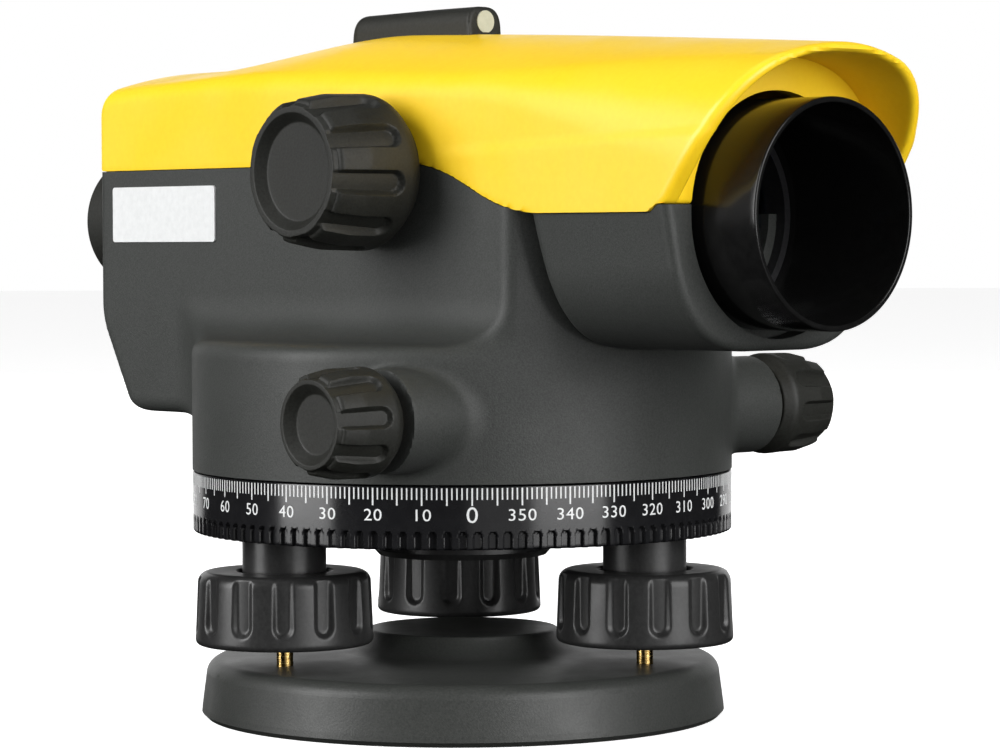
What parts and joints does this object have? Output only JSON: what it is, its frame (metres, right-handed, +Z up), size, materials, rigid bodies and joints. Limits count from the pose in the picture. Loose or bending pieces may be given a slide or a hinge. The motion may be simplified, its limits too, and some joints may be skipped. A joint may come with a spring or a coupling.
{
  "type": "automatic level",
  "caption": "Surveyor's automatic level: telescope body under a visored cover, on a graduated ring, footscrews and a round base.",
  "frame": {"origin": "centre of the base's underside, at the mouth of the tripod thread", "axes": "+Z up along the vertical axis, -Y the way the objective looks, -X the focusing knob's side"},
  "size_m": [0.1218, 0.1958, 0.1296],
  "materials": {
    "charcoal": "fine textured matt",
    "yellow": "semi-gloss yellow",
    "soft_black": "matt moulded rubber",
    "ring_black": "gloss black with white graduation",
    "foot_black": "semi-gloss black",
    "base_charcoal": "textured paint",
    "shade_black": "gloss black",
    "black_metal": "black anodised",
    "brass": "turned",
    "bronze": "turned bearing bronze",
    "steel": "turned",
    "spring_steel": "rolled",
    "aluminium": "machined",
    "lens_glass": "coated",
    "prism_glass": "polished",
    "level_glass": "spirit vial",
    "window_white": "translucent white",
    "label_white": "blank plate"
  },
  "bodies": {
    "base": {"base_plate": "base_charcoal", "base_sole": "base_charcoal", "sole_screws": "steel", "tripod_insert": "brass", "spring_plate": "spring_steel"},
    "tribrach": {"tribrach_plate": "foot_black", "leg_bushes": "bronze", "axis_spindle": "steel", "spindle_nut": "steel"},
    "circle": {"graduated_ring": "ring_black", "circle_disc": "aluminium"},
    "wheel": {"worm_wheel": "bronze", "clutch_spring": "spring_steel"},
    "alidade": {"lower_housing": "charcoal", "bottom_flange": "black_metal", "flange_screws": "steel", "axis_bush": "bronze", "top_cover": "yellow", "cover_screws": "steel", "drive_bushes": "bronze", "focus_bush": "bronze", "sunshade": "shade_black", "objective_cell": "black_metal", "objective_lens_front": "lens_glass", "objective_lens_rear": "lens_glass", "telescope_tube": "black_metal", "compensator_frame": "aluminium", "fixed_prism": "prism_glass", "suspension_wires": "spring_steel", "damper_cylinder": "aluminium", "reticle_cell": "black_metal", "reticle_glass": "prism_glass", "eyepiece_sleeve": "black_metal", "label_plate": "label_white", "sight_body": "soft_black", "sight_window": "window_white", "circular_level_housing": "black_metal", "circular_level_vial": "level_glass", "level_adjusting_screws": "steel", "prism_housing": "soft_black", "pentaprism": "prism_glass"},
    "drive": {"drive_shaft": "steel", "drive_knob_left": "soft_black", "drive_knob_right": "soft_black"},
    "focus_turn": {"focus_knob": "soft_black", "focus_shaft": "steel"},
    "focus_slide": {"focus_carriage": "aluminium", "focusing_lens": "lens_glass"},
    "eyepiece_turn": {"dioptre_ring": "soft_black"},
    "eyepiece_slide": {"eyepiece_cell": "black_metal", "eyepiece_lenses": "lens_glass"},
    "pendulum": {"pendulum_carrier": "aluminium", "pendulum_prism": "prism_glass"},
    "footscrew_1": {"footscrew_knob_1": "foot_black", "footscrew_spindle_1": "brass"},
    "footscrew_2": {"footscrew_knob_2": "foot_black", "footscrew_spindle_2": "brass"},
    "footscrew_3": {"footscrew_knob_3": "foot_black", "footscrew_spindle_3": "brass"}
  },
  "joints": [
    {"name": "level_raise", "type": "slide", "parent": "base", "child": "tribrach", "axis": [0, 0, 1], "range_m": [-0.003, 0.003]},
    {"name": "circle_turn", "type": "hinge", "parent": "tribrach", "child": "circle", "pos_m": [0, 0, 0.04], "axis": [0, 0, 1], "continuous": true},
    {"name": "clutch_slip", "type": "hinge", "parent": "tribrach", "child": "wheel", "pos_m": [0, 0, 0.0563], "axis": [0, 0, 1], "continuous": true},
    {"name": "azimuth", "type": "hinge", "parent": "wheel", "child": "alidade", "pos_m": [0, 0, 0.0563], "axis": [0, 0, 1], "continuous": true},
    {"name": "drive_turn", "type": "hinge", "parent": "alidade", "child": "drive", "pos_m": [0, -0.0294, 0.0563], "axis": [1, 0, 0], "continuous": true},
    {"name": "focus_turn", "type": "hinge", "parent": "alidade", "child": "focus_turn", "pos_m": [-0.0475, -0.0094, 0.09895], "axis": [1, 0, 0], "range_deg": [-225, 225]},
    {"name": "focus_travel", "type": "slide", "parent": "alidade", "child": "focus_slide", "axis": [0, 1, 0], "range_m": [-0.00985, 0.00985]},
    {"name": "dioptre_turn", "type": "hinge", "parent": "alidade", "child": "eyepiece_turn", "pos_m": [0, 0.09, 0.09107], "axis": [0, 1, 0], "range_deg": [-180, 180]},
    {"name": "dioptre_travel", "type": "slide", "parent": "alidade", "child": "eyepiece_slide", "axis": [0, 1, 0], "range_m": [-0.00126, 0.00126]},
    {"name": "pendulum_swing", "type": "hinge", "parent": "alidade", "child": "pendulum", "pos_m": [0, 0.029, 0.103], "axis": [1, 0, 0], "range_deg": [-0.3, 0.3], "deforming": ["suspension_wires"]},
    {"name": "footscrew_1_turn", "type": "hinge", "parent": "base", "child": "footscrew_1", "pos_m": [0.02442, 0.02819, 0.02], "axis": [0, 0, 1], "range_deg": [-1440.1, 1440.1]},
    {"name": "footscrew_2_turn", "type": "hinge", "parent": "base", "child": "footscrew_2", "pos_m": [-0.03663, 0.00705, 0.02], "axis": [0, 0, 1], "range_deg": [-1440.1, 1440.1]},
    {"name": "footscrew_3_turn", "type": "hinge", "parent": "base", "child": "footscrew_3", "pos_m": [0.01221, -0.03525, 0.02], "axis": [0, 0, 1], "range_deg": [-1440.1, 1440.1]}
  ],
  "couplings": [
    {"joint": "drive_turn", "follows": "azimuth", "ratio": 50},
    {"joint": "focus_travel", "follows": "focus_turn", "m_per_rad": 0.0025},
    {"joint": "dioptre_travel", "follows": "dioptre_turn", "m_per_rad": 0.00039789},
    {"joint": "footscrew_1_turn", "follows": "level_raise", "rad_per_m": -8377.6},
    {"joint": "footscrew_2_turn", "follows": "level_raise", "rad_per_m": -8377.6},
    {"joint": "footscrew_3_turn", "follows": "level_raise", "rad_per_m": -8377.6}
  ]
}
